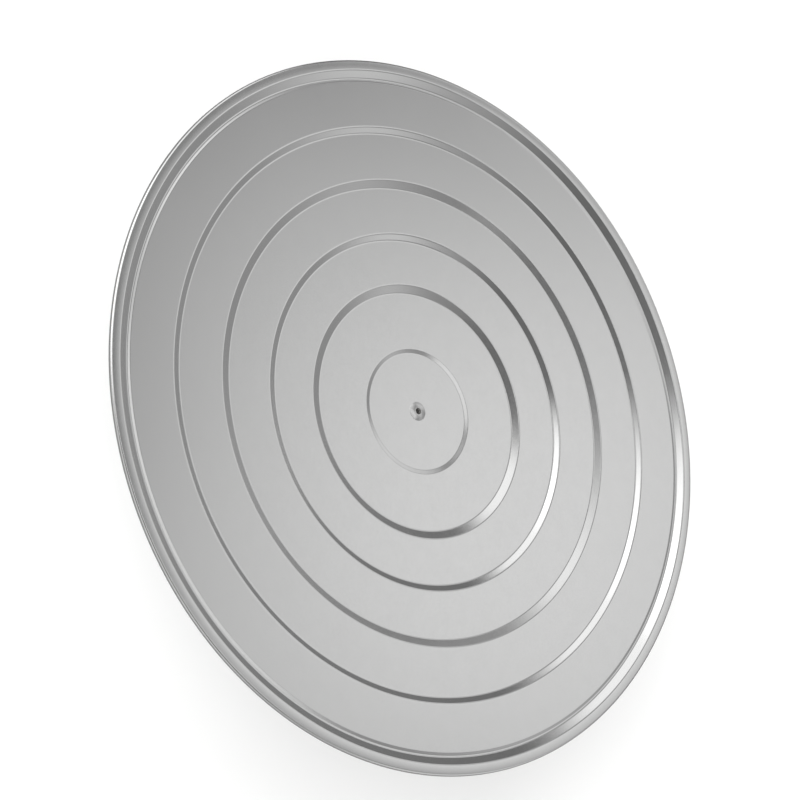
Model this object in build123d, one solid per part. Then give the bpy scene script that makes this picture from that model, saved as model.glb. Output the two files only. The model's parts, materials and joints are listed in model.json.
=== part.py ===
from build123d import *
import os
from math import cos, radians, sin

# Banding wheel: a pressed sheet head on a ball-bearing spindle, in a small cast base.
# Z is the spindle axis and points up. The origin is on the table, under the spindle.
# All lengths are in millimetres.

# Overall
OVERALL_HEIGHT = 95.0
HEAD_RADIUS = 150.0

# How closely an edge has to match the radius or height it is picked by
EDGE_MATCH = 0.01

# Pressed head: flat rings that step down towards the centre, and a shallow groove inside a hemmed rim
SHEET = 0.8
RIM_RISE = 1.6
STEP_DROP = 1.3
CENTRE_DROP = 0.4
WIDE_WALL = 3.4
NARROW_WALL = 2.5
CENTRE_WALL = 1.8
RIM_WALL_RADIUS = 0.959 * HEAD_RADIUS
GROOVE_WIDTH = 1.5
GROOVE_DEPTH = 0.3
# Each step, from the rim inwards: radius at the middle of its wall, the wall's width, and its drop
STEPS = [
    (0.799 * HEAD_RADIUS, NARROW_WALL, STEP_DROP),
    (0.645 * HEAD_RADIUS, WIDE_WALL, STEP_DROP),
    (0.494 * HEAD_RADIUS, NARROW_WALL, STEP_DROP),
    (0.347 * HEAD_RADIUS, WIDE_WALL, STEP_DROP),
    (0.171 * HEAD_RADIUS, CENTRE_WALL, CENTRE_DROP),
]
BEND_RADIUS = 2.0
HEM_RADIUS = 1.0
HEM_WIDTH = 3.0
OUTER_FIELD_TOP = OVERALL_HEIGHT - RIM_RISE
CENTRE_TOP = OUTER_FIELD_TOP - sum(drop for _, _, drop in STEPS)
CENTRE_UNDER = CENTRE_TOP - SHEET
INNER_FIELD_UNDER = CENTRE_UNDER + CENTRE_DROP

# Centre screw of the head
HEAD_SCREW_RADIUS = 2.0
HEAD_SCREW_LENGTH = 12.0
HEAD_SCREW_CAP_RADIUS = 4.0
HEAD_SCREW_CAP_HEIGHT = 0.65
HEAD_SCREW_DOME = 14.5
HEAD_SCREW_SOCKET = 1.8
HEAD_HOLE_RADIUS = 2.25
HEX_KEY = 2.5

# Hub flange under the head, with a low boss that centres the cushion
FLANGE_RADIUS = 48.0
FLANGE_THICKNESS = 5.0
BOSS_HEIGHT = 1.0
FLANGE_TOP = CENTRE_UNDER - BOSS_HEIGHT
FLANGE_UNDER = FLANGE_TOP - FLANGE_THICKNESS
HUB_RADIUS = 20.0
HUB_DEPTH = 14.5
HUB_UNDER = CENTRE_UNDER - HUB_DEPTH
CUSHION_INNER_RADIUS = 30.0
CUSHION_OUTER_RADIUS = 46.0

# Studs welded under the head, with their washers and nuts
STUD_COUNT = 4
STUD_CIRCLE_RADIUS = 38.0
STUD_RADIUS = 2.5
STUD_REACH = 7.0
STUD_END = FLANGE_UNDER - STUD_REACH
STUD_COLLAR_RADIUS = 3.2
STUD_COLLAR_HEIGHT = 0.8
STUD_CLEARANCE_RADIUS = 2.75
CUSHION_HOLE_RADIUS = 3.6
STUD_WASHER_RADIUS = 5.0
STUD_WASHER_THICKNESS = 1.0
STUD_NUT_FLATS = 8.0
STUD_NUT_HEIGHT = 4.0
STUD_NUT_CORNER = 0.4

# Ball bearings: bore, outside, width, ball, pitch circle, and the lands beside the balls
UPPER = {
    "bore": 20.0,
    "outside": 42.0,
    "width": 12.0,
    "ball": 6.35,
    "pitch": 31.0,
    "inner_land": 27.0,
    "outer_land": 35.0,
    "balls": 9,
    "bottom": 44.0,
}
LOWER = {
    "bore": 17.0,
    "outside": 35.0,
    "width": 10.0,
    "ball": 4.762,
    "pitch": 26.0,
    "inner_land": 23.0,
    "outer_land": 29.0,
    "balls": 10,
    "bottom": 20.0,
}
BALL_CLEARANCE = 0.05
POCKET_CLEARANCE = 0.1
RACE_CHAMFER = 0.6
CAGE_GAP = 0.5
CAGE_BACK = 1.1

# Spindle, with a gap left under the head
SPINDLE_END = 16.0
HEAD_GAP = 0.2
COLLAR_RADIUS = 12.5
COLLAR_BOTTOM = UPPER["bottom"] + UPPER["width"]
SPINDLE_TOP = CENTRE_UNDER - HEAD_GAP
SPINDLE_CHAMFER = 1.0
TAPPED_DEPTH = 15.0
SLEEVE_RADIUS = 11.5
SPINDLE_CLIP_THICKNESS = 1.0
SPINDLE_GROOVE_DEPTH = 0.4
SPINDLE_CLIP_RADIUS = 11.0

# Set screws through the hub
SET_SCREW_RADIUS = 2.5
SET_SCREW_HEIGHT = (HUB_UNDER + FLANGE_UNDER) / 2
SET_SCREW_RECESS = 1.0
SET_SCREW_ANGLES = (45, 135)

# Bearing housing: a turned tube that is pressed into the casting
HOUSING_RADIUS = 27.0
HOUSING_BOTTOM = 13.5
HOUSING_TOP = 67.0
MIDDLE_BORE_RADIUS = 15.0
HOUSING_CLIP_THICKNESS = 1.75
HOUSING_GROOVE_DEPTH = 1.25
HOUSING_CLIP_INNER_RADIUS = 18.6
HOUSING_CHAMFER = 1.0
SEAL_THICKNESS = 7.0
SEAL_DEPTH = 1.0
SEAL_BOTTOM = HOUSING_TOP - SEAL_THICKNESS - SEAL_DEPTH
SEAL_FLOOR = 1.2
SEAL_SHELL = 1.5
SEAL_LIP = 1.4
SEAL_RUNNING_GAP = 0.05

# Spring clips: the half angle of the split, and the size and place of the eyes beside it
SPINDLE_CLIP = {"half_split": 10.0, "eye_radius": 1.9, "eye_place": 11.2}
HOUSING_CLIP = {"half_split": 6.0, "eye_radius": 2.2, "eye_place": 18.4}
EYE_TURN = 2.2

# Base casting: a skirt, a low flare and a collar, with the radii of the bends between them
BASE_RADIUS = 80.0
SKIRT_BOTTOM = 3.0
SKIRT_TOP = 14.0
CASTING_WALL = 6.0
PLATE_GAP = 1.0
COLLAR_WALL = 8.0
COLLAR_RADIUS_OUTSIDE = HOUSING_RADIUS + COLLAR_WALL
CASTING_TOP = 50.0
FLARE_WIDTH = 14.0
FLARE_TOP = SKIRT_TOP + 9.0
NECK_BOTTOM = SKIRT_TOP + 22.0
OUTER_BENDS = [6.0, 30.0, 12.0]
VAULT_TOP = SKIRT_TOP + 10.0
VAULT_WIDTH = 18.0
VAULT_EDGE = SKIRT_TOP + 3.0
INNER_BENDS = [20.0, 2.0]
LOCK_SCREW_DROP = 6.0
LOCK_SCREW_HEIGHT = CASTING_TOP - LOCK_SCREW_DROP
LOCK_SCREW_ANGLES = (30, 150, 270)

# Housing cover, under the housing
COVER_THICKNESS = 2.0
GASKET_THICKNESS = 0.5
COVER_UNDER = HOUSING_BOTTOM - GASKET_THICKNESS - COVER_THICKNESS
COVER_SCREW_COUNT = 3
COVER_SCREW_CIRCLE_RADIUS = 22.6
SMALL_SCREW_RADIUS = 2.0
SMALL_SCREW_CAP_RADIUS = 3.8
SMALL_SCREW_CAP_HEIGHT = 1.8
SMALL_SCREW_HOLE_RADIUS = 2.2
CROSS_WIDTH = 0.9
COVER_SCREW_REACH = 7.0
COVER_SCREW_END = HOUSING_BOTTOM + COVER_SCREW_REACH

# Rubber feet under the bottom plate
FOOT_COUNT = 4
FOOT_START_ANGLE = 45.0
FOOT_CIRCLE_RADIUS = 62.0
FOOT_RADIUS = 9.0
FOOT_HEIGHT = 7.0
FOOT_RECESS_RADIUS = 4.8
FOOT_RECESS_DEPTH = 4.0
FOOT_WASHER_THICKNESS = 0.8
FOOT_WASHER_RADIUS = 4.4
FOOT_EDGE = 1.0
PLATE_THICKNESS = 1.5
PLATE_RADIUS = BASE_RADIUS - CASTING_WALL - PLATE_GAP
PLATE_TOP = FOOT_HEIGHT + PLATE_THICKNESS
SKIRT_CEILING = PLATE_TOP + PLATE_GAP
FOOT_BOSS_RADIUS = 8.0
FOOT_SCREW_REACH = 8.0
FOOT_SCREW_END = PLATE_TOP + FOOT_SCREW_REACH


def tube(outer_radius, inner_radius, bottom, top):
    """A plain ring about the Z axis."""
    height = top - bottom
    blank = Cylinder(outer_radius, height, align=(Align.CENTER, Align.CENTER, Align.MIN))
    bore = Cylinder(inner_radius, height, align=(Align.CENTER, Align.CENTER, Align.MIN))
    return Pos(0, 0, bottom) * (blank - bore)


def rod(radius, bottom, top):
    """A plain round bar along the Z axis."""
    bar = Cylinder(radius, top - bottom, align=(Align.CENTER, Align.CENTER, Align.MIN))
    return Pos(0, 0, bottom) * bar


def around(shape, count, circle_radius, start_angle=0.0):
    """Copies of a shape, evenly spaced on a circle about the Z axis."""
    copies = []
    for index in range(count):
        angle = start_angle + 360.0 * index / count
        place = Pos(circle_radius * cos(radians(angle)), circle_radius * sin(radians(angle)), 0)
        copies.append(place * Rot(0, 0, angle) * shape)
    return copies


def round_edges(shape, radius):
    """The circular edges of one radius."""
    edges = shape.edges().filter_by(GeomType.CIRCLE)
    return edges.filter_by(lambda edge: abs(edge.radius - radius) < EDGE_MATCH)


def turned(profile):
    """A solid of revolution from a face in the XZ plane."""
    return revolve(profile, axis=Axis.Z, revolution_arc=360)


def save(name, *shapes):
    """Writes one node, which is one solid or a group of separate solids."""
    solids = []
    for shape in shapes:
        solids.extend(shape.solids())
    whole = solids[0] if len(solids) == 1 else Compound(children=solids)
    whole.label = name
    export_step(whole, f"parts/{name}.step")


def wheel_head():
    """The pressed head, as one sheet of even thickness from the centre hole to the hem under the rim."""
    points = [(HEAD_HOLE_RADIUS, CENTRE_TOP)]
    level = CENTRE_TOP
    for middle, width, drop in reversed(STEPS):
        points.append((middle - width / 2, level))
        level += drop
        points.append((middle + width / 2, level))
    wall_foot = RIM_WALL_RADIUS - WIDE_WALL / 2
    points.append((wall_foot - GROOVE_WIDTH, level))
    points.append((wall_foot, level - GROOVE_DEPTH))
    points.append((RIM_WALL_RADIUS + WIDE_WALL / 2, OVERALL_HEIGHT))
    fold = HEAD_RADIUS - HEM_RADIUS
    points.append((fold, OVERALL_HEIGHT))
    top_line = FilletPolyline(*points, radius=BEND_RADIUS)
    edge = CenterArc((fold, OVERALL_HEIGHT - HEM_RADIUS), HEM_RADIUS, 90, -180)
    hem_level = OVERALL_HEIGHT - 2 * HEM_RADIUS
    hem = Line((fold, hem_level), (fold - HEM_WIDTH, hem_level))
    line = Wire([*top_line.edges(), *edge.edges(), *hem.edges()])
    section = make_face(line.offset_2d(SHEET, side=Side.RIGHT, closed=True))
    return turned(Plane.XZ * section)


def head_screw():
    """A low domed screw in the middle of the head, with a hexagon socket."""
    shank = rod(HEAD_SCREW_RADIUS, CENTRE_TOP - HEAD_SCREW_LENGTH, CENTRE_TOP)
    cap = rod(HEAD_SCREW_CAP_RADIUS, CENTRE_TOP, CENTRE_TOP + HEAD_SCREW_CAP_HEIGHT)
    cap &= Pos(0, 0, CENTRE_TOP + HEAD_SCREW_CAP_HEIGHT - HEAD_SCREW_DOME) * Sphere(HEAD_SCREW_DOME)
    key = extrude(RegularPolygon(HEX_KEY / 2, 6, major_radius=False), amount=HEAD_SCREW_SOCKET)
    return shank + cap - Pos(0, 0, CENTRE_TOP + HEAD_SCREW_CAP_HEIGHT - HEAD_SCREW_SOCKET) * key


def hub_flange():
    """The turned flange that carries the head, with a hub round the spindle's top."""
    body = rod(FLANGE_RADIUS, FLANGE_UNDER, FLANGE_TOP) + rod(HUB_RADIUS, HUB_UNDER, CENTRE_UNDER)
    body -= rod(UPPER["bore"] / 2, HUB_UNDER, CENTRE_UNDER)
    hole = rod(STUD_CLEARANCE_RADIUS, FLANGE_UNDER, FLANGE_TOP)
    for copy in around(hole, STUD_COUNT, STUD_CIRCLE_RADIUS):
        body -= copy
    for bore in set_screw_blanks(HUB_RADIUS):
        body -= bore
    return chamfer(round_edges(body, FLANGE_RADIUS), SPINDLE_CHAMFER)


def set_screw_blanks(reach):
    """Bars along two radii at right angles, from the spindle's side out to the given radius."""
    start = UPPER["bore"] / 2
    bar = Cylinder(SET_SCREW_RADIUS, reach - start, align=(Align.CENTER, Align.CENTER, Align.MIN))
    laid = Pos(start, 0, SET_SCREW_HEIGHT) * Rot(0, 90, 0) * bar
    return [Rot(0, 0, angle) * laid for angle in SET_SCREW_ANGLES]


def socketed(blanks, angles, tip, height):
    """Headless screws made from bars along radii, with a hexagon socket in each outer end."""
    depth = 2 * SET_SCREW_RECESS
    key = extrude(RegularPolygon(HEX_KEY / 2, 6, major_radius=False), amount=depth)
    laid_key = Pos(tip - depth, 0, height) * Rot(0, 90, 0) * key
    return [blank - Rot(0, 0, angle) * laid_key for angle, blank in zip(angles, blanks)]


def hub_set_screws():
    """Two headless screws that lock the hub to the spindle."""
    tip = HUB_RADIUS - SET_SCREW_RECESS
    return socketed(set_screw_blanks(tip), SET_SCREW_ANGLES, tip, SET_SCREW_HEIGHT)


def cushion_ring():
    """A flat rubber ring between the flange and the head's inner field."""
    ring = tube(CUSHION_OUTER_RADIUS, CUSHION_INNER_RADIUS, FLANGE_TOP, INNER_FIELD_UNDER)
    hole = rod(CUSHION_HOLE_RADIUS, FLANGE_TOP, INNER_FIELD_UNDER)
    for copy in around(hole, STUD_COUNT, STUD_CIRCLE_RADIUS):
        ring -= copy
    return ring


def weld_studs():
    """Threaded studs that stand down from the head's underside."""
    stud = rod(STUD_RADIUS, STUD_END, INNER_FIELD_UNDER)
    stud += rod(STUD_COLLAR_RADIUS, INNER_FIELD_UNDER - STUD_COLLAR_HEIGHT, INNER_FIELD_UNDER)
    return around(stud, STUD_COUNT, STUD_CIRCLE_RADIUS)


def stud_washers():
    washer = tube(STUD_WASHER_RADIUS, STUD_RADIUS, FLANGE_UNDER - STUD_WASHER_THICKNESS, FLANGE_UNDER)
    return around(washer, STUD_COUNT, STUD_CIRCLE_RADIUS)


def stud_nuts():
    """Hexagon nuts with rounded corners, under the washers."""
    top = FLANGE_UNDER - STUD_WASHER_THICKNESS
    bottom = top - STUD_NUT_HEIGHT
    prism = extrude(RegularPolygon(STUD_NUT_FLATS / 2, 6, major_radius=False), amount=STUD_NUT_HEIGHT)
    corner_radius = STUD_NUT_FLATS / 2 / cos(radians(30))
    cone = Cone(corner_radius - STUD_NUT_CORNER, corner_radius + STUD_NUT_HEIGHT, STUD_NUT_HEIGHT)
    cone = Pos(0, 0, STUD_NUT_HEIGHT / 2) * cone
    nut = Pos(0, 0, bottom) * (prism & cone) - rod(STUD_RADIUS, bottom, top)
    return around(nut, STUD_COUNT, STUD_CIRCLE_RADIUS)


def spindle():
    """The stepped shaft, with a collar on the upper bearing and a tapped hole in its top."""
    neck_top = HUB_UNDER
    shaft = rod(LOWER["bore"] / 2, SPINDLE_END, UPPER["bottom"])
    shaft += rod(UPPER["bore"] / 2, UPPER["bottom"], COLLAR_BOTTOM)
    shaft += rod(COLLAR_RADIUS, COLLAR_BOTTOM, neck_top)
    shaft += rod(UPPER["bore"] / 2, neck_top, SPINDLE_TOP)
    ends = shaft.edges().filter_by(GeomType.CIRCLE).sort_by(Axis.Z)
    shaft = chamfer([ends[0], ends[-1]], SPINDLE_CHAMFER)
    groove_bottom = LOWER["bottom"] - SPINDLE_CLIP_THICKNESS
    groove_radius = LOWER["bore"] / 2 - SPINDLE_GROOVE_DEPTH
    shaft -= tube(COLLAR_RADIUS, groove_radius, groove_bottom, LOWER["bottom"])
    return shaft - rod(HEAD_SCREW_RADIUS, SPINDLE_TOP - TAPPED_DEPTH, SPINDLE_TOP)


def race_groove(bearing):
    """The ring-shaped room that the balls of a bearing run in."""
    middle = bearing["bottom"] + bearing["width"] / 2
    return Pos(0, 0, middle) * Torus(bearing["pitch"] / 2, bearing["ball"] / 2 + BALL_CLEARANCE)


def race(bearing, outer_diameter, inner_diameter, chamfered_diameter):
    """One race of a bearing, grooved for the balls and chamfered on its mounting side."""
    top = bearing["bottom"] + bearing["width"]
    ring = tube(outer_diameter / 2, inner_diameter / 2, bearing["bottom"], top)
    return chamfer(round_edges(ring, chamfered_diameter / 2), RACE_CHAMFER) - race_groove(bearing)


def inner_race(bearing):
    return race(bearing, bearing["inner_land"], bearing["bore"], bearing["bore"])


def outer_race(bearing):
    return race(bearing, bearing["outside"], bearing["outer_land"], bearing["outside"])


def balls(bearing, extra=0.0):
    """The balls of a bearing, or the pockets for them when they are given extra radius."""
    middle = bearing["bottom"] + bearing["width"] / 2
    ball = Pos(0, 0, middle) * Sphere(bearing["ball"] / 2 + extra)
    return around(ball, bearing["balls"], bearing["pitch"] / 2)


def cage(bearing):
    """A crown cage: a ring that is closed above the balls and open below them."""
    middle = bearing["bottom"] + bearing["width"] / 2
    ball_radius = bearing["ball"] / 2
    outer = bearing["outer_land"] / 2 - CAGE_GAP
    inner = bearing["inner_land"] / 2 + CAGE_GAP
    ring = tube(outer, inner, middle - ball_radius / 2, middle + ball_radius + CAGE_BACK)
    for pocket in balls(bearing, POCKET_CLEARANCE):
        ring -= pocket
    return ring


def spacer_sleeve():
    """The sleeve that holds the two inner races apart."""
    return tube(SLEEVE_RADIUS, LOWER["bore"] / 2, LOWER["bottom"] + LOWER["width"], UPPER["bottom"])


def open_ring(outer_radius, inner_radius, bottom, thickness, clip):
    """A spring clip: a split ring with an eye beside each end of the split."""
    ring = tube(outer_radius, inner_radius, bottom, bottom + thickness)
    for side in (-1, 1):
        angle = radians(side * EYE_TURN * clip["half_split"])
        place = Pos(clip["eye_place"] * cos(angle), clip["eye_place"] * sin(angle), 0)
        ring += place * rod(clip["eye_radius"], bottom, bottom + thickness)
        ring -= place * rod(clip["eye_radius"] / 2, bottom, bottom + thickness)
    split = 2 * outer_radius * sin(radians(clip["half_split"]))
    slot = Pos(outer_radius, 0, bottom + thickness / 2) * Box(outer_radius, split, 2 * thickness)
    return ring - slot


def spindle_circlip():
    """The clip in the spindle's groove, under the lower inner race."""
    groove = LOWER["bore"] / 2 - SPINDLE_GROOVE_DEPTH
    bottom = LOWER["bottom"] - SPINDLE_CLIP_THICKNESS
    return open_ring(SPINDLE_CLIP_RADIUS, groove, bottom, SPINDLE_CLIP_THICKNESS, SPINDLE_CLIP)


def housing_circlip():
    """The clip in the housing's groove, over the upper outer race."""
    groove = UPPER["outside"] / 2 + HOUSING_GROOVE_DEPTH
    inner = HOUSING_CLIP_INNER_RADIUS
    return open_ring(groove, inner, COLLAR_BOTTOM, HOUSING_CLIP_THICKNESS, HOUSING_CLIP)


def dust_seal():
    """A U-shaped ring pressed in the housing's mouth, whose lip runs close round the collar."""
    outer = UPPER["outside"] / 2
    lip = COLLAR_RADIUS + SEAL_RUNNING_GAP
    top = SEAL_BOTTOM + SEAL_THICKNESS
    ring = tube(outer, lip, SEAL_BOTTOM, top)
    return ring - tube(outer - SEAL_SHELL, lip + SEAL_LIP, SEAL_BOTTOM, top - SEAL_FLOOR)


def casting_outside():
    """The casting's outer line, from the skirt's lower edge up to the top of the collar."""
    points = [
        (BASE_RADIUS, SKIRT_BOTTOM),
        (BASE_RADIUS, SKIRT_TOP),
        (COLLAR_RADIUS_OUTSIDE + FLARE_WIDTH, FLARE_TOP),
        (COLLAR_RADIUS_OUTSIDE, NECK_BOTTOM),
        (COLLAR_RADIUS_OUTSIDE, CASTING_TOP),
    ]
    return FilletPolyline(*points, radius=OUTER_BENDS)


def casting_inside():
    """The casting's inner line, from the bore out to the skirt's lower edge."""
    points = [
        (HOUSING_RADIUS, VAULT_TOP),
        (HOUSING_RADIUS + VAULT_WIDTH, VAULT_EDGE),
        (BASE_RADIUS - CASTING_WALL, SKIRT_CEILING),
        (BASE_RADIUS - CASTING_WALL, SKIRT_BOTTOM),
    ]
    return FilletPolyline(*points, radius=INNER_BENDS)


def casting_face(inner_edges, inner_top):
    """The casting's half section, closed on the inside by the given edges."""
    outside = casting_outside()
    lid = Line((COLLAR_RADIUS_OUTSIDE, CASTING_TOP), (HOUSING_RADIUS, CASTING_TOP))
    bore = Line((HOUSING_RADIUS, CASTING_TOP), (HOUSING_RADIUS, inner_top))
    return make_face(Wire([*outside.edges(), *lid.edges(), *bore.edges(), *inner_edges]))


def base_casting():
    """A bell-shaped casting with a collar for the housing, and a boss over each foot."""
    inside = casting_inside()
    lip = Line((BASE_RADIUS - CASTING_WALL, SKIRT_BOTTOM), (BASE_RADIUS, SKIRT_BOTTOM))
    body = turned(Plane.XZ * casting_face([*inside.edges(), *lip.edges()], VAULT_TOP))
    floor = Line((HOUSING_RADIUS, SKIRT_BOTTOM), (BASE_RADIUS, SKIRT_BOTTOM))
    full = turned(Plane.XZ * casting_face(floor.edges(), SKIRT_BOTTOM))
    rims = body.edges().filter_by(GeomType.CIRCLE)
    rims = rims.filter_by(lambda edge: abs(edge.center().Z - CASTING_TOP) < EDGE_MATCH)
    body = chamfer(rims, HOUSING_CHAMFER)
    boss = rod(FOOT_BOSS_RADIUS, PLATE_TOP, CASTING_TOP)
    hole = rod(SMALL_SCREW_RADIUS, PLATE_TOP, FOOT_SCREW_END)
    for copy in around(boss, FOOT_COUNT, FOOT_CIRCLE_RADIUS, FOOT_START_ANGLE):
        body += copy & full
    for copy in around(hole, FOOT_COUNT, FOOT_CIRCLE_RADIUS, FOOT_START_ANGLE):
        body -= copy
    for blank in lock_screw_blanks(COLLAR_RADIUS_OUTSIDE):
        body -= blank
    return body


def lock_screw_blanks(reach):
    """Bars along three radii, from the housing's side out to the given radius."""
    length = reach - HOUSING_RADIUS
    bar = Cylinder(SET_SCREW_RADIUS, length, align=(Align.CENTER, Align.CENTER, Align.MIN))
    laid = Pos(HOUSING_RADIUS, 0, LOCK_SCREW_HEIGHT) * Rot(0, 90, 0) * bar
    return [Rot(0, 0, angle) * laid for angle in LOCK_SCREW_ANGLES]


def housing_lock_screws():
    """Headless screws that hold the housing in the casting's collar."""
    tip = COLLAR_RADIUS_OUTSIDE - SET_SCREW_RECESS
    return socketed(lock_screw_blanks(tip), LOCK_SCREW_ANGLES, tip, LOCK_SCREW_HEIGHT)


def bearing_housing():
    """A turned tube with a seat for each bearing, a groove for the clip and a mouth for the seal."""
    body = rod(HOUSING_RADIUS, HOUSING_BOTTOM, HOUSING_TOP)
    body = chamfer(body.edges().filter_by(GeomType.CIRCLE), HOUSING_CHAMFER)
    room = rod(LOWER["outside"] / 2, HOUSING_BOTTOM, LOWER["bottom"] + LOWER["width"])
    room += rod(MIDDLE_BORE_RADIUS, LOWER["bottom"], UPPER["bottom"])
    room += rod(UPPER["outside"] / 2, UPPER["bottom"], HOUSING_TOP)
    groove = UPPER["outside"] / 2 + HOUSING_GROOVE_DEPTH
    room += rod(groove, COLLAR_BOTTOM, COLLAR_BOTTOM + HOUSING_CLIP_THICKNESS)
    body -= room
    cover_hole = rod(SMALL_SCREW_RADIUS, HOUSING_BOTTOM, COVER_SCREW_END)
    for hole in around(cover_hole, COVER_SCREW_COUNT, COVER_SCREW_CIRCLE_RADIUS):
        body -= hole
    return body


def holed_disc(radius, bottom, top, count, circle_radius, start_angle=0.0):
    """A flat disc with clearance holes for small screws."""
    disc = rod(radius, bottom, top)
    hole = rod(SMALL_SCREW_HOLE_RADIUS, bottom, top)
    for copy in around(hole, count, circle_radius, start_angle):
        disc -= copy
    return disc


def housing_cover():
    top = COVER_UNDER + COVER_THICKNESS
    return holed_disc(HOUSING_RADIUS, COVER_UNDER, top, COVER_SCREW_COUNT, COVER_SCREW_CIRCLE_RADIUS)


def cover_gasket():
    bottom = HOUSING_BOTTOM - GASKET_THICKNESS
    disc = holed_disc(HOUSING_RADIUS, bottom, HOUSING_BOTTOM, COVER_SCREW_COUNT, COVER_SCREW_CIRCLE_RADIUS)
    return disc - rod(LOWER["outside"] / 2, bottom, HOUSING_BOTTOM)


def bottom_plate():
    """A sheet disc that closes the casting from below and is held by the foot screws."""
    return holed_disc(
        PLATE_RADIUS, FOOT_HEIGHT, PLATE_TOP, FOOT_COUNT, FOOT_CIRCLE_RADIUS, FOOT_START_ANGLE
    )


def small_screw(head_top, end):
    """A pan-head screw that points up, with a cross recess in its head."""
    head_bottom = head_top - SMALL_SCREW_CAP_HEIGHT
    head = rod(SMALL_SCREW_CAP_RADIUS, head_bottom, head_top)
    rim = head.edges().filter_by(GeomType.CIRCLE).sort_by(Axis.Z)[0]
    head = fillet(rim, SMALL_SCREW_CAP_HEIGHT / 2)
    slot = Box(SMALL_SCREW_CAP_RADIUS, CROSS_WIDTH, SMALL_SCREW_CAP_HEIGHT)
    cross = Pos(0, 0, head_bottom) * (slot + Rot(0, 0, 90) * slot)
    return head - cross + rod(SMALL_SCREW_RADIUS, head_top, end)


def cover_screws():
    screw = small_screw(COVER_UNDER, COVER_SCREW_END)
    return around(screw, COVER_SCREW_COUNT, COVER_SCREW_CIRCLE_RADIUS)


def rubber_feet():
    """Round feet, each with a deep recess that keeps its screw off the table."""
    foot = rod(FOOT_RADIUS, 0, FOOT_HEIGHT)
    foot = chamfer(foot.edges().filter_by(GeomType.CIRCLE).sort_by(Axis.Z)[0], FOOT_EDGE)
    foot -= rod(FOOT_RECESS_RADIUS, 0, FOOT_RECESS_DEPTH)
    foot -= rod(SMALL_SCREW_HOLE_RADIUS, 0, FOOT_HEIGHT)
    return around(foot, FOOT_COUNT, FOOT_CIRCLE_RADIUS, FOOT_START_ANGLE)


def foot_washers():
    bottom = FOOT_RECESS_DEPTH - FOOT_WASHER_THICKNESS
    washer = tube(FOOT_WASHER_RADIUS, SMALL_SCREW_HOLE_RADIUS, bottom, FOOT_RECESS_DEPTH)
    return around(washer, FOOT_COUNT, FOOT_CIRCLE_RADIUS, FOOT_START_ANGLE)


def foot_screws():
    screw = small_screw(FOOT_RECESS_DEPTH - FOOT_WASHER_THICKNESS, FOOT_SCREW_END)
    return around(screw, FOOT_COUNT, FOOT_CIRCLE_RADIUS, FOOT_START_ANGLE)


os.makedirs("parts", exist_ok=True)

save("wheel_head", wheel_head())
save("head_screw", head_screw())
save("hub_flange", hub_flange())
save("hub_set_screws", *hub_set_screws())
save("cushion_ring", cushion_ring())
save("weld_studs", *weld_studs())
save("stud_washers", *stud_washers())
save("stud_nuts", *stud_nuts())
save("spindle", spindle())
save("spindle_circlip", spindle_circlip())
save("spacer_sleeve", spacer_sleeve())
save("upper_inner_race", inner_race(UPPER))
save("lower_inner_race", inner_race(LOWER))
save("upper_cage", cage(UPPER))
save("upper_balls", *balls(UPPER))
save("lower_cage", cage(LOWER))
save("lower_balls", *balls(LOWER))
save("upper_outer_race", outer_race(UPPER))
save("lower_outer_race", outer_race(LOWER))
save("housing_circlip", housing_circlip())
save("dust_seal", dust_seal())
save("bearing_housing", bearing_housing())
save("housing_cover", housing_cover())
save("cover_gasket", cover_gasket())
save("cover_screws", *cover_screws())
save("base_casting", base_casting())
save("housing_lock_screws", *housing_lock_screws())
save("bottom_plate", bottom_plate())
save("rubber_feet", *rubber_feet())
save("foot_washers", *foot_washers())
save("foot_screws", *foot_screws())
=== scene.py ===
import json
from math import cos, pi, radians, sin, tan

import bmesh
import bpy
from mathutils import Matrix, Vector


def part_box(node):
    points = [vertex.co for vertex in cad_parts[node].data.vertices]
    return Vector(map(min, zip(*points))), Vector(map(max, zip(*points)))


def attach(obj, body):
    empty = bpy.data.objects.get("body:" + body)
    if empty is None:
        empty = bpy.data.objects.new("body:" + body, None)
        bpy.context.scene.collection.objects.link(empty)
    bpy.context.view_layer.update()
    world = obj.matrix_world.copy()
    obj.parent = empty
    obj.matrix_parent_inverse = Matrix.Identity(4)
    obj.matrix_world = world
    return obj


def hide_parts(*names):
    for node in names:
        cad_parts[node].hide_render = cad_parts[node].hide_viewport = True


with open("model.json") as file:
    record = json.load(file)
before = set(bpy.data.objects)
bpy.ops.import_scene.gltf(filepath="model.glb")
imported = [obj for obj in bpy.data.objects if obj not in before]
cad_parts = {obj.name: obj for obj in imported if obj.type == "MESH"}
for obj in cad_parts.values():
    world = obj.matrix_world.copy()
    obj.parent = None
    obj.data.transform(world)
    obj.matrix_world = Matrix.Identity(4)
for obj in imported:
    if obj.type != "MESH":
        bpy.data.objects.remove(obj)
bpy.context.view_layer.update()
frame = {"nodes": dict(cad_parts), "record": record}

# Everything is in metres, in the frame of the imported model: Z is the spindle's axis, Z = 0 the table.
MM = 0.001

# Driving dimensions of the head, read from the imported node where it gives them
HEAD_LOW, HEAD_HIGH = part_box("wheel_head")
HEAD_RADIUS = HEAD_HIGH.x
RIM_TOP = HEAD_HIGH.z
SHEET = 0.8 * MM
CENTRE_TOP = HEAD_LOW.z + SHEET
HEM_RADIUS = 1.0 * MM
HEM_WIDTH = 3.0 * MM
RIM_RISE = 1.6 * MM
CENTRE_DROP = 0.4 * MM
WIDE_WALL = 3.4 * MM
NARROW_WALL = 2.5 * MM
CENTRE_WALL = 1.8 * MM
RIM_WALL_RADIUS = 0.959 * HEAD_RADIUS
GROOVE_WIDTH = 1.5 * MM
GROOVE_DEPTH = 0.3 * MM
FULL_STEPS = 4
STEP_DROP = (RIM_TOP - RIM_RISE - CENTRE_TOP - CENTRE_DROP) / FULL_STEPS
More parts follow.
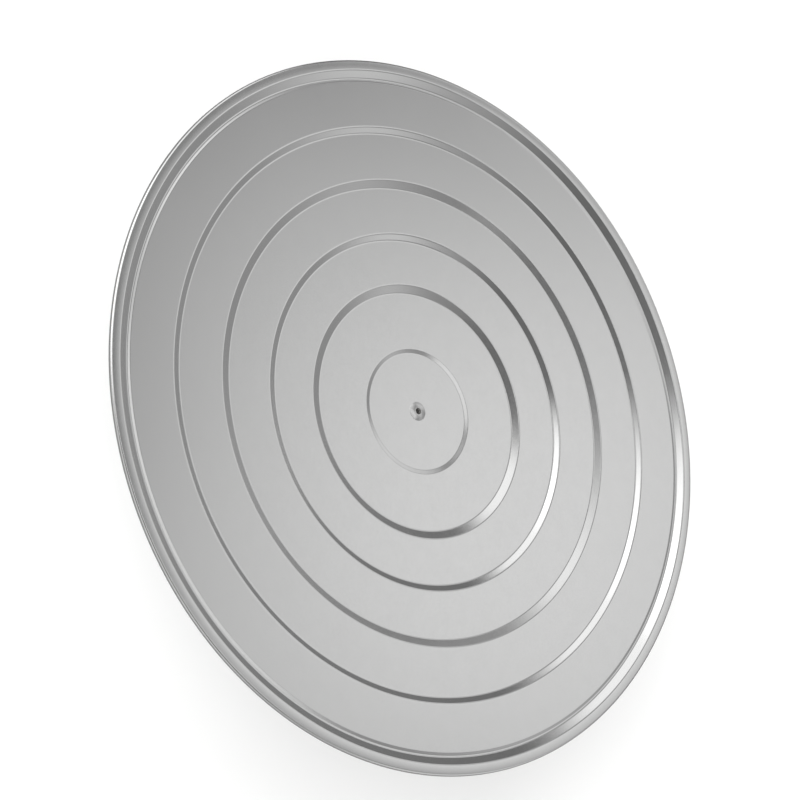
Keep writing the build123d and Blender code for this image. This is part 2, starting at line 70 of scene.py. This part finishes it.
# Each step, from the rim inwards: radius at the middle of its wall, the wall's width, and its drop
STEPS = [
    (0.799 * HEAD_RADIUS, NARROW_WALL, STEP_DROP),
    (0.645 * HEAD_RADIUS, WIDE_WALL, STEP_DROP),
    (0.494 * HEAD_RADIUS, NARROW_WALL, STEP_DROP),
    (0.347 * HEAD_RADIUS, WIDE_WALL, STEP_DROP),
    (0.171 * HEAD_RADIUS, CENTRE_WALL, CENTRE_DROP),
]
BEND_RADIUS = 2.0 * MM
HEAD_HOLE_RADIUS = 2.25 * MM

# Fineness of the head's mesh. A run over LONG_RUN gets a short one of GUARD at each end.
HEAD_SEGMENTS = 390
BEND_PIECES = 6
HEM_PIECES = 16
LONG_RUN = 3.0 * MM
GUARD = 0.3 * MM


# ---------------------------------------------------------------- camera

TILT = radians(41.1)
ROLL = radians(20.03)
CAMERA_DISTANCE = 6.14 * HEAD_RADIUS
FRAME_SIDE = 36.0
LENS = 2.805 * FRAME_SIDE
AIM_LEFT = 0.0121 * CAMERA_DISTANCE
AIM_UP = 0.0035 * CAMERA_DISTANCE


def make_camera():
    """The camera of the main view: rolled, and looking down on the head from the -Y side."""
    target = Vector((0, 0, RIM_TOP - RIM_RISE / 2))
    back = Vector((0, -sin(TILT), cos(TILT)))
    level_up = Vector((0, cos(TILT), sin(TILT)))
    level_right = Vector((1, 0, 0))
    right = cos(ROLL) * level_up + sin(ROLL) * level_right
    up = sin(ROLL) * level_up - cos(ROLL) * level_right
    place = target + CAMERA_DISTANCE * back
    aim = target - AIM_LEFT * right + AIM_UP * up
    back = (place - aim).normalized()
    right = (right - right.dot(back) * back).normalized()
    up = back.cross(right)
    data = bpy.data.cameras.new("camera")
    data.sensor_width = FRAME_SIDE
    data.lens = LENS
    camera = bpy.data.objects.new("camera", data)
    camera.matrix_world = Matrix.Translation(place) @ Matrix((right, up, back)).transposed().to_4x4()
    bpy.context.scene.collection.objects.link(camera)
    bpy.context.scene.camera = camera


# ---------------------------------------------------------------- node helpers


class Graph:
    """A node tree with short ways to add nodes and join them."""

    def __init__(self, tree):
        self.tree = tree
        self.nodes = tree.nodes
        self.nodes.clear()

    def add(self, kind, inputs=None, **settings):
        node = self.nodes.new(kind)
        for name, value in settings.items():
            setattr(node, name, value)
        for name, value in (inputs or {}).items():
            self.set(node.inputs[name], value)
        return node

    def set(self, socket, value):
        if isinstance(value, bpy.types.NodeSocket):
            self.tree.links.new(value, socket)
        else:
            socket.default_value = value

    def math(self, operation, first, second=0.0):
        node = self.add("ShaderNodeMath", operation=operation)
        self.set(node.inputs[0], first)
        self.set(node.inputs[1], second)
        return node.outputs[0]

    def vector(self, operation, first, second=(0, 0, 0), output="Vector"):
        node = self.add("ShaderNodeVectorMath", operation=operation)
        self.set(node.inputs[0], first)
        self.set(node.inputs[1], second)
        return node.outputs[output]

    def ramp(self, value, low, high, to_low=0.0, to_high=1.0, smooth=False):
        node = self.add("ShaderNodeMapRange", interpolation_type="SMOOTHSTEP" if smooth else "LINEAR")
        names = ("Value", "From Min", "From Max", "To Min", "To Max")
        for name, given in zip(names, (value, low, high, to_low, to_high)):
            self.set(node.inputs[name], given)
        return node.outputs["Result"]

    def mix(self, share, first, second):
        node = self.add("ShaderNodeMix", data_type="RGBA")
        self.set(node.inputs["Factor"], share)
        self.set(node.inputs["A"], first)
        self.set(node.inputs["B"], second)
        return node.outputs["Result"]


# ---------------------------------------------------------------- studio

# Bright metal mirrors the floor as a darker one, as over black cards laid just out of view
FLOOR_COLOUR = (0.93, 0.93, 0.925, 1.0)
FLOOR_MIRRORED = (0.22, 0.22, 0.22, 1.0)

# Soft panels of light round the object. "bearing" is measured from +Y towards +X and "height" above
# the horizon, both in degrees, and "roll" turns the panel about its middle. "half" is its half width
# and height as sines, "soft" the share of them over which its edge fades, "light" what it adds to the
# room's light, and "mirrored" what it adds instead where metal mirrors it.
PANELS = [
    # the pale panel that the flat fields mirror
    {"bearing": 5, "height": 48, "roll": -19, "half": (0.165, 0.161), "soft": 0.88, "light": 0.86},
    # white softboxes on the left, which the steps mirror
    {"bearing": -107, "height": 45, "roll": 15, "half": (0.35, 0.50), "soft": 0.20, "light": 1.5},
    {"bearing": -61, "height": 41, "roll": -78, "half": (0.42, 0.27), "soft": 0.40, "light": 1.2},
    # dimmer ones on the right and beyond the object
    {"bearing": 65, "height": 31, "roll": -13, "half": (0.37, 0.41), "soft": 0.67, "light": 0.50},
    {"bearing": 58, "height": 14, "roll": 4, "half": (0.91, 0.53), "soft": 0.20, "light": 0.20},
    {"bearing": -12, "height": 32, "roll": 47, "half": (0.29, 0.10), "soft": 0.50, "light": 0.66},
    {"bearing": 7, "height": 72, "roll": 20, "half": (0.28, 0.13), "soft": 0.25, "light": 0.92},
    # the large fill behind the camera, which metal mirrors as a dimmer one
    {"bearing": 180, "height": 32, "roll": 0, "half": (0.85, 0.45), "soft": 0.50, "light": 4.6,
     "mirrored": 0.5},
]
# The room's own light, and how square the panels' corners are: 2 makes an ellipse
ROOM_LIGHT = 0.18
CORNER_POWER = 3.0
# The pale backdrop that the camera itself sees beyond the floor's edge
BACKDROP_LIGHT = 1.0
FLOOR_REACH = 60 * HEAD_RADIUS


def panel_light(graph, direction, panel):
    """How much one panel adds to the world's light in a direction."""
    bearing, height, roll = (radians(panel[name]) for name in ("bearing", "height", "roll"))
    middle = Vector((sin(bearing) * cos(height), cos(bearing) * cos(height), sin(height)))
    level = Vector((0, 0, 1)).cross(middle).normalized()
    steep = middle.cross(level)
    across = cos(roll) * level + sin(roll) * steep
    along = cos(roll) * steep - sin(roll) * level
    reaches = []
    for axis, half in zip((across, along), panel["half"]):
        reach = graph.math("ABSOLUTE", graph.vector("DOT_PRODUCT", direction, axis / half, output="Value"))
        reaches.append(graph.math("POWER", reach, CORNER_POWER))
    reach = graph.math("POWER", graph.math("ADD", *reaches), 1.0 / CORNER_POWER)
    inside = graph.ramp(reach, 1.0 + panel["soft"], 1.0 - panel["soft"], smooth=True)
    ahead = graph.math("GREATER_THAN", graph.vector("DOT_PRODUCT", direction, middle, output="Value"), 0.0)
    light = panel["light"]
    if "mirrored" in panel:
        glossy = graph.add("ShaderNodeLightPath").outputs["Is Glossy Ray"]
        light = graph.ramp(glossy, 0.0, 1.0, light, panel["mirrored"])
    return graph.math("MULTIPLY", graph.math("MULTIPLY", inside, ahead), light)


def make_room():
    """A dim room with soft panels of light."""
    world = bpy.data.worlds.new("studio")
    bpy.context.scene.world = world
    world.use_nodes = True
    graph = Graph(world.node_tree)
    direction = graph.add("ShaderNodeTexCoord").outputs["Generated"]
    light = ROOM_LIGHT
    for panel in PANELS:
        light = graph.math("ADD", light, panel_light(graph, direction, panel))
    seen = graph.add("ShaderNodeLightPath").outputs["Is Camera Ray"]
    light = graph.ramp(seen, 0.0, 1.0, light, BACKDROP_LIGHT)
    background = graph.add("ShaderNodeBackground", {"Strength": light})
    graph.add("ShaderNodeOutputWorld", {"Surface": background.outputs["Background"]})
    bpy.context.scene.view_settings.view_transform = "Standard"


def make_floor():
    """A plain pale floor at the height of the table."""
    mesh = bpy.data.meshes.new("floor")
    signs = ((-1, -1), (1, -1), (1, 1), (-1, 1))
    corners = [(x * FLOOR_REACH, y * FLOOR_REACH, 0) for x, y in signs]
    mesh.from_pydata(corners, [], [(0, 1, 2, 3)])
    floor = bpy.data.objects.new("floor", mesh)
    bpy.context.scene.collection.objects.link(floor)
    material = bpy.data.materials.new("floor")
    material.use_nodes = True
    graph = Graph(material.node_tree)
    mirrored = graph.add("ShaderNodeLightPath").outputs["Is Glossy Ray"]
    colour = graph.mix(mirrored, FLOOR_COLOUR, FLOOR_MIRRORED)
    values = {"Base Color": colour, "Roughness": 0.9, "Specular IOR Level": 0.1}
    shader = graph.add("ShaderNodeBsdfPrincipled", values)
    graph.add("ShaderNodeOutputMaterial", {"Surface": shader.outputs["BSDF"]})
    mesh.materials.append(material)


# ---------------------------------------------------------------- materials

HEAD_DARK = (0.775, 0.775, 0.772, 1)
HEAD_LIGHT = (0.810, 0.810, 0.807, 1)
# Painted shade: the dark colour given to the recess of the middle screw's socket
SOCKET_PAINTED_SHADE = (0.09, 0.088, 0.084, 1)
SOCKET_RADIUS = 1.3 * MM
RUBBER_BLACK = (0.022, 0.022, 0.023, 1)
CLAY_DUST = (0.20, 0.19, 0.175, 1)
ENAMEL_LIGHT = (0.165, 0.173, 0.182, 1)
ENAMEL_DARK = (0.125, 0.132, 0.140, 1)
BARE_IRON = (0.30, 0.29, 0.28, 1)
WORN_EDGE = 1.6 * MM
GASKET_DARK = (0.16, 0.11, 0.065, 1)
GASKET_LIGHT = (0.32, 0.24, 0.15, 1)
NYLON_CREAM = (0.78, 0.73, 0.58)
ALUMINIUM = (0.76, 0.76, 0.77)
TURNED_STEEL = (0.50, 0.50, 0.505)
GROUND_STEEL = (0.62, 0.62, 0.62)
POLISHED_STEEL = (0.78, 0.78, 0.78)
ZINC = (0.70, 0.71, 0.73)
BLACKENED_STEEL = (0.030, 0.030, 0.032)
PHOSPHATED_STEEL = (0.10, 0.095, 0.088)


def new_material(name, values):
    """A material with one Principled shader, whose sockets take the given values."""
    material = bpy.data.materials.new(name)
    material.use_nodes = True
    graph = Graph(material.node_tree)
    shader = graph.add("ShaderNodeBsdfPrincipled", values)
    graph.add("ShaderNodeOutputMaterial", {"Surface": shader.outputs["BSDF"]})
    return material, graph, shader


def bump(graph, shader, height, strength, distance):
    """Relief of the given height, without any change of the mesh."""
    node = graph.add("ShaderNodeBump", {"Height": height, "Strength": strength, "Distance": distance})
    graph.set(shader.inputs["Normal"], node.outputs["Normal"])


def noise(graph, place, scale, detail=2.0, roughness=0.5):
    """Soft noise in space, from 0 to 1."""
    inputs = {"Vector": place, "Scale": scale, "Detail": detail, "Roughness": roughness}
    return graph.add("ShaderNodeTexNoise", inputs).outputs["Fac"]


def line_noise(graph, along, scale, detail=3.0):
    """Noise that changes along one number only."""
    inputs = {"W": along, "Scale": scale, "Detail": detail}
    return graph.add("ShaderNodeTexNoise", inputs, noise_dimensions="1D").outputs["Fac"]


def object_place(graph):
    """Places in the piece's own space, which is the frame's at rest."""
    return graph.add("ShaderNodeTexCoord").outputs["Object"]


def axis_radius(graph, place):
    """Distance from the spindle's axis."""
    flat = graph.vector("MULTIPLY", place, (1, 1, 0))
    return graph.vector("LENGTH", flat, output="Value")


def turned_place(graph, place):
    """Radius plus height: it grows evenly across the faces and along the sides of a turned part."""
    height = graph.add("ShaderNodeSeparateXYZ", {"Vector": place}).outputs["Z"]
    return graph.math("ADD", axis_radius(graph, place), height)


def shade(colour, share):
    """A colour made lighter or darker, with its alpha kept."""
    return tuple(min(1.0, part * share) for part in colour[:3]) + (1.0,)


def cloudy(graph, shader, place, colour, spread, rough, scale):
    """Uneven colour and roughness in soft clouds."""
    cloud = noise(graph, place, scale, 4.0, 0.55)
    share = graph.ramp(cloud, 0.3, 0.7)
    uneven = graph.mix(share, shade(colour, 1 - spread), shade(colour, 1 + spread))
    graph.set(shader.inputs["Base Color"], uneven)
    graph.set(shader.inputs["Roughness"], graph.ramp(cloud, 0.3, 0.7, *rough))


def head_steel():
    """Thin stainless sheet with a satin mill finish, faintly marked by the press and by use."""
    material, graph, shader = new_material("head_steel", {"Metallic": 1.0})
    place = object_place(graph)
    cloud = noise(graph, place, 9.0, 3.0)
    grain = noise(graph, place, 900.0, 2.0, 0.6)
    mottle = noise(graph, place, 160.0, 3.0, 0.6)
    colour = graph.mix(graph.ramp(cloud, 0.3, 0.7), HEAD_DARK, HEAD_LIGHT)
    graph.set(shader.inputs["Base Color"], colour)
    rough = graph.ramp(cloud, 0.3, 0.7, 0.14, 0.17)
    rough = graph.math("ADD", rough, graph.ramp(grain, 0.3, 0.7, -0.01, 0.02))
    rough = graph.math("ADD", rough, graph.ramp(mottle, 0.35, 0.65, -0.008, 0.008))
    graph.set(shader.inputs["Roughness"], rough)
    relief = graph.math("ADD", grain, graph.math("MULTIPLY", mottle, 1.5))
    bump(graph, shader, relief, 0.03, 0.1 * MM)
    return material


def turned_metal(name, colour, rough, pitch, depth):
    """Metal with the fine even grooves of a lathe tool, and a little wander in them."""
    material, graph, shader = new_material(name, {"Metallic": 1.0})
    place = object_place(graph)
    cloudy(graph, shader, place, colour, 0.06, rough, 60.0)
    along = turned_place(graph, place)
    wander = graph.math("MULTIPLY", line_noise(graph, along, 900.0), 2.5)
    phase = graph.math("ADD", graph.math("MULTIPLY", along, 2 * pi / pitch), wander)
    bump(graph, shader, graph.math("SINE", phase), 0.12, depth)
    return material


def screw_steel():
    """The middle screw's satin stainless, with painted shade making its socket dark and matt."""
    material, graph, shader = new_material("screw_steel", {})
    place = object_place(graph)
    speckle = noise(graph, place, 2500.0, 3.0)
    wander = graph.ramp(speckle, 0.3, 0.7, -0.1 * MM, 0.1 * MM)
    edge = graph.math("ADD", axis_radius(graph, place), wander)
    # Painted shade, not clay: this mask colours the socket's recess dark and matt, standing in for the
    # shade inside it
    clay = graph.ramp(edge, SOCKET_RADIUS + 0.3 * MM, SOCKET_RADIUS, smooth=True)
    steel = graph.mix(speckle, shade(HEAD_DARK, 0.95), HEAD_LIGHT)
    graph.set(shader.inputs["Base Color"], graph.mix(clay, steel, SOCKET_PAINTED_SHADE))
    graph.set(shader.inputs["Metallic"], graph.ramp(clay, 0.0, 1.0, 1.0, 0.0))
    graph.set(shader.inputs["Roughness"], graph.ramp(clay, 0.0, 1.0, 0.22, 0.8))
    bump(graph, shader, speckle, 0.15, 0.02 * MM)
    return material


def ground_metal(name, colour, rough):
    """Metal ground between centres: very fine, irregular lines round the axis."""
    material, graph, shader = new_material(name, {"Metallic": 1.0})
    place = object_place(graph)
    cloudy(graph, shader, place, colour, 0.04, rough, 90.0)
    lines = line_noise(graph, turned_place(graph, place), 9000.0, 4.0)
    bump(graph, shader, lines, 0.2, 0.02 * MM)
    return material


def polished_metal(name, colour):
    """Hardened, polished bearing steel with a trace of oil haze."""
    material, graph, shader = new_material(name, {"Metallic": 1.0})
    place = object_place(graph)
    cloudy(graph, shader, place, colour, 0.03, (0.06, 0.14), 120.0)
    return material


def plated_metal(name, colour):
    """Bright zinc plate: faint crystals, a soft stain here and there, and fine pitting."""
    material, graph, shader = new_material(name, {"Metallic": 1.0})
    place = object_place(graph)
    crystals = graph.add("ShaderNodeTexVoronoi", {"Vector": place, "Scale": 1500.0}).outputs["Color"]
    facet = graph.add("ShaderNodeSeparateColor", {"Color": crystals}).outputs["Red"]
    stain = noise(graph, place, 110.0, 4.0, 0.6)
    bright = graph.mix(graph.ramp(facet, 0, 1), shade(colour, 0.92), shade(colour, 1.08))
    dull = shade((colour[0] * 0.96, colour[1] * 0.96, colour[2] * 0.90), 0.85)
    stained = graph.ramp(stain, 0.52, 0.75, 0.0, 0.7)
    graph.set(shader.inputs["Base Color"], graph.mix(stained, bright, dull))
    rough = graph.math("ADD", graph.ramp(facet, 0, 1, 0.24, 0.32), graph.ramp(stain, 0.5, 0.8, 0.0, 0.15))
    graph.set(shader.inputs["Roughness"], rough)
    bump(graph, shader, noise(graph, place, 3500.0, 2.0), 0.15, 0.02 * MM)
    return material


def dark_steel(name, colour, rough, spread):
    """Blackened or phosphated steel, with a fine crystalline skin."""
    material, graph, shader = new_material(name, {"Metallic": 0.9})
    place = object_place(graph)
    cloudy(graph, shader, place, colour, spread, rough, 200.0)
    bump(graph, shader, noise(graph, place, 4000.0, 3.0), 0.25, 0.02 * MM)
    return material


def rubber():
    """Matt black rubber with a fine moulded skin and a trace of pale clay dust."""
    material, graph, shader = new_material("rubber", {"Specular IOR Level": 0.35, "Sheen Weight": 0.15})
    place = object_place(graph)
    cloud = noise(graph, place, 70.0, 5.0, 0.6)
    dust = graph.ramp(cloud, 0.5, 0.8, 0.0, 0.22)
    graph.set(shader.inputs["Base Color"], graph.mix(dust, RUBBER_BLACK, CLAY_DUST))
    graph.set(shader.inputs["Roughness"], graph.ramp(cloud, 0.3, 0.7, 0.62, 0.80))
    skin = graph.math("ADD", noise(graph, place, 2200.0, 3.0), graph.math("MULTIPLY", cloud, 2.0))
    bump(graph, shader, skin, 0.35, 0.05 * MM)
    return material


def nylon():
    """Natural nylon: warm white, a little uneven, with a soft moulded gloss."""
    values = {"Subsurface Weight": 0.08, "Subsurface Scale": 0.5 * MM}
    material, graph, shader = new_material("cage_nylon", values)
    place = object_place(graph)
    cloudy(graph, shader, place, NYLON_CREAM, 0.05, (0.38, 0.50), 150.0)
    bump(graph, shader, noise(graph, place, 1800.0, 2.0), 0.15, 0.02 * MM)
    return material


def fibre():
    """Pressed brown fibre board with short felted strands."""
    material, graph, shader = new_material("gasket", {"Specular IOR Level": 0.2})
    place = object_place(graph)
    strands = []
    for stretch in ((2600.0, 300.0, 900.0), (300.0, 2600.0, 900.0)):
        strands.append(noise(graph, graph.vector("MULTIPLY", place, stretch), 1.0, 4.0, 0.6))
    felt = graph.math("MAXIMUM", *strands)
    colour = graph.mix(graph.ramp(felt, 0.4, 0.75), GASKET_DARK, GASKET_LIGHT)
    graph.set(shader.inputs["Base Color"], colour)
    shader.inputs["Roughness"].default_value = 0.85
    bump(graph, shader, felt, 0.4, 0.05 * MM)
    return material


def enamelled_iron():
    """Cast iron under a grey hammered enamel, rubbed thin at its upper and lower edges."""
    values = {"Coat Weight": 0.5, "Coat Roughness": 0.12, "Specular IOR Level": 0.5}
    material, graph, shader = new_material("enamelled_iron", values)
    place = object_place(graph)
    inputs = {"Vector": place, "Scale": 290.0, "Smoothness": 0.55}
    dents = graph.add("ShaderNodeTexVoronoi", inputs, feature="SMOOTH_F1").outputs["Distance"]
    bowl = graph.ramp(dents, 0.05, 0.75)
    paint = graph.mix(bowl, ENAMEL_LIGHT, ENAMEL_DARK)
    height = graph.add("ShaderNodeSeparateXYZ", {"Vector": place}).outputs["Z"]
    low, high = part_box("base_casting")
    worn_top = graph.ramp(height, high.z - WORN_EDGE, high.z, smooth=True)
    worn_foot = graph.ramp(height, low.z + WORN_EDGE, low.z, smooth=True)
    patches = noise(graph, place, 140.0, 5.0, 0.65)
    worn = graph.math("MAXIMUM", worn_top, worn_foot)
    wear = graph.math("MULTIPLY", worn, graph.ramp(patches, 0.42, 0.56))
    graph.set(shader.inputs["Base Color"], graph.mix(wear, paint, BARE_IRON))
    graph.set(shader.inputs["Metallic"], graph.ramp(wear, 0.0, 1.0, 0.4, 1.0))
    rough = graph.math("ADD", graph.ramp(bowl, 0, 1, 0.34, 0.24), graph.math("MULTIPLY", wear, 0.2))
    graph.set(shader.inputs["Roughness"], rough)
    sand = noise(graph, place, 1300.0, 3.0)
    relief = graph.math("SUBTRACT", graph.math("ADD", bowl, graph.math("MULTIPLY", sand, 0.15)), wear)
    bump(graph, shader, relief, 0.9, 0.6 * MM)
    return material


def make_materials():
    """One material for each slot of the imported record."""
    return {
        "head_steel": head_steel(),
        "screw_steel": screw_steel(),
        "turned_aluminium": turned_metal("turned_aluminium", ALUMINIUM, (0.26, 0.34), 0.25 * MM, 0.02 * MM),
        "black_screws": dark_steel("black_screws", BLACKENED_STEEL, (0.30, 0.42), 0.3),
        "rubber": rubber(),
        "zinc_steel": plated_metal("zinc_steel", ZINC),
        "ground_steel": ground_metal("ground_steel", GROUND_STEEL, (0.16, 0.22)),
        "turned_steel": turned_metal("turned_steel", TURNED_STEEL, (0.24, 0.32), 0.18 * MM, 0.015 * MM),
        "spring_steel": dark_steel("spring_steel", PHOSPHATED_STEEL, (0.35, 0.48), 0.25),
        "bearing_steel": polished_metal("bearing_steel", POLISHED_STEEL),
        "cage_nylon": nylon(),
        "enamelled_iron": enamelled_iron(),
        "gasket": fibre(),
    }


# ---------------------------------------------------------------- meshes


def rounded(points, radius):
    """A line through the points with each inner corner turned into an arc."""
    line = [points[0]]
    for before, corner, after in zip(points, points[1:], points[2:]):
        back = (Vector(before) - Vector(corner)).normalized()
        ahead = (Vector(after) - Vector(corner)).normalized()
        turn = pi - back.angle(ahead)
        reach = radius * tan(turn / 2)
        centre = Vector(corner) + (back + ahead).normalized() * radius / cos(turn / 2)
        start = Vector(corner) + back * reach - centre
        swing = turn if start.x * ahead.y - start.y * ahead.x > 0 else -turn
        for step in range(BEND_PIECES + 1):
            spoke = Matrix.Rotation(swing * step / BEND_PIECES, 2) @ start
            line.append(tuple(centre + spoke))
    line.append(points[-1])
    return line


def guarded(line):
    """The same line with a short run at each end of its long ones, so that flat rings shade flat."""
    fine = [line[0]]
    for start, end in zip(line, line[1:]):
        run = Vector(end) - Vector(start)
        if run.length > LONG_RUN:
            guard = run.normalized() * GUARD
            fine.append(tuple(Vector(start) + guard))
            fine.append(tuple(Vector(end) - guard))
        fine.append(end)
    return fine


def beside(line, distance):
    """The line at an even distance to the right of the given one."""
    moved = []
    for index, (x, y) in enumerate(line):
        before = line[max(index - 1, 0)]
        after = line[min(index + 1, len(line) - 1)]
        run = Vector((after[0] - before[0], after[1] - before[1])).normalized()
        moved.append((x + distance * run.y, y - distance * run.x))
    return moved


def lathe(name, outline, segments):
    """A closed outline in the XZ plane, turned about Z into one closed mesh."""
    mesh = bpy.data.meshes.new(name)
    vertices = []
    for index in range(segments):
        angle = 2 * pi * index / segments
        vertices.extend((r * cos(angle), r * sin(angle), z) for r, z in outline)
    count = len(outline)
    faces = []
    for index in range(segments):
        here = index * count
        there = (index + 1) % segments * count
        for step in range(count):
            other = (step + 1) % count
            faces.append((here + step, here + other, there + other, there + step))
    mesh.from_pydata(vertices, [], faces)
    mesh.update()
    shell = bmesh.new()
    shell.from_mesh(mesh)
    bmesh.ops.recalc_face_normals(shell, faces=shell.faces)
    shell.to_mesh(mesh)
    shell.free()
    mesh.shade_smooth()
    piece = bpy.data.objects.new(name, mesh)
    bpy.context.scene.collection.objects.link(piece)
    return piece


def finish_piece(piece, body, slot, *nodes):
    """Gives a new piece its material and body, and hides the CAD nodes it stands for."""
    piece.data.materials.clear()
    piece.data.materials.append(MATERIALS[slot])
    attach(piece, body)
    if nodes:
        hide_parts(*nodes)


def head_line():
    """The upper line of the head, from the middle hole over the rim to the end of the hem."""
    points = [(HEAD_HOLE_RADIUS, CENTRE_TOP)]
    level = CENTRE_TOP
    for middle, width, drop in reversed(STEPS):
        points.append((middle - width / 2, level))
        level += drop
        points.append((middle + width / 2, level))
    wall_foot = RIM_WALL_RADIUS - WIDE_WALL / 2
    points.append((wall_foot - GROOVE_WIDTH, level))
    points.append((wall_foot, level - GROOVE_DEPTH))
    points.append((RIM_WALL_RADIUS + WIDE_WALL / 2, RIM_TOP))
    fold = HEAD_RADIUS - HEM_RADIUS
    points.append((fold, RIM_TOP))
    line = guarded(rounded(points, BEND_RADIUS))
    for step in range(1, HEM_PIECES + 1):
        angle = pi / 2 - pi * step / HEM_PIECES
        line.append((fold + HEM_RADIUS * cos(angle), RIM_TOP - HEM_RADIUS + HEM_RADIUS * sin(angle)))
    line.append((fold - HEM_WIDTH, RIM_TOP - 2 * HEM_RADIUS))
    return line


def make_head():
    """The pressed sheet, replacing the CAD node with a finer mesh of the same shape."""
    upper = head_line()
    lower = beside(upper, SHEET)
    piece = lathe("pressed_head", upper + lower[::-1], HEAD_SEGMENTS)
    finish_piece(piece, "wheel", "head_steel", "wheel_head")


def paint_nodes():
    """Gives every CAD node the material of its slot in the record."""
    for subpart in frame["record"]["subparts"]:
        mesh = frame["nodes"][subpart["node"]].data
        mesh.materials.clear()
        mesh.materials.append(MATERIALS[subpart["material_slot"]])


make_camera()
make_room()
make_floor()
MATERIALS = make_materials()
paint_nodes()
make_head()
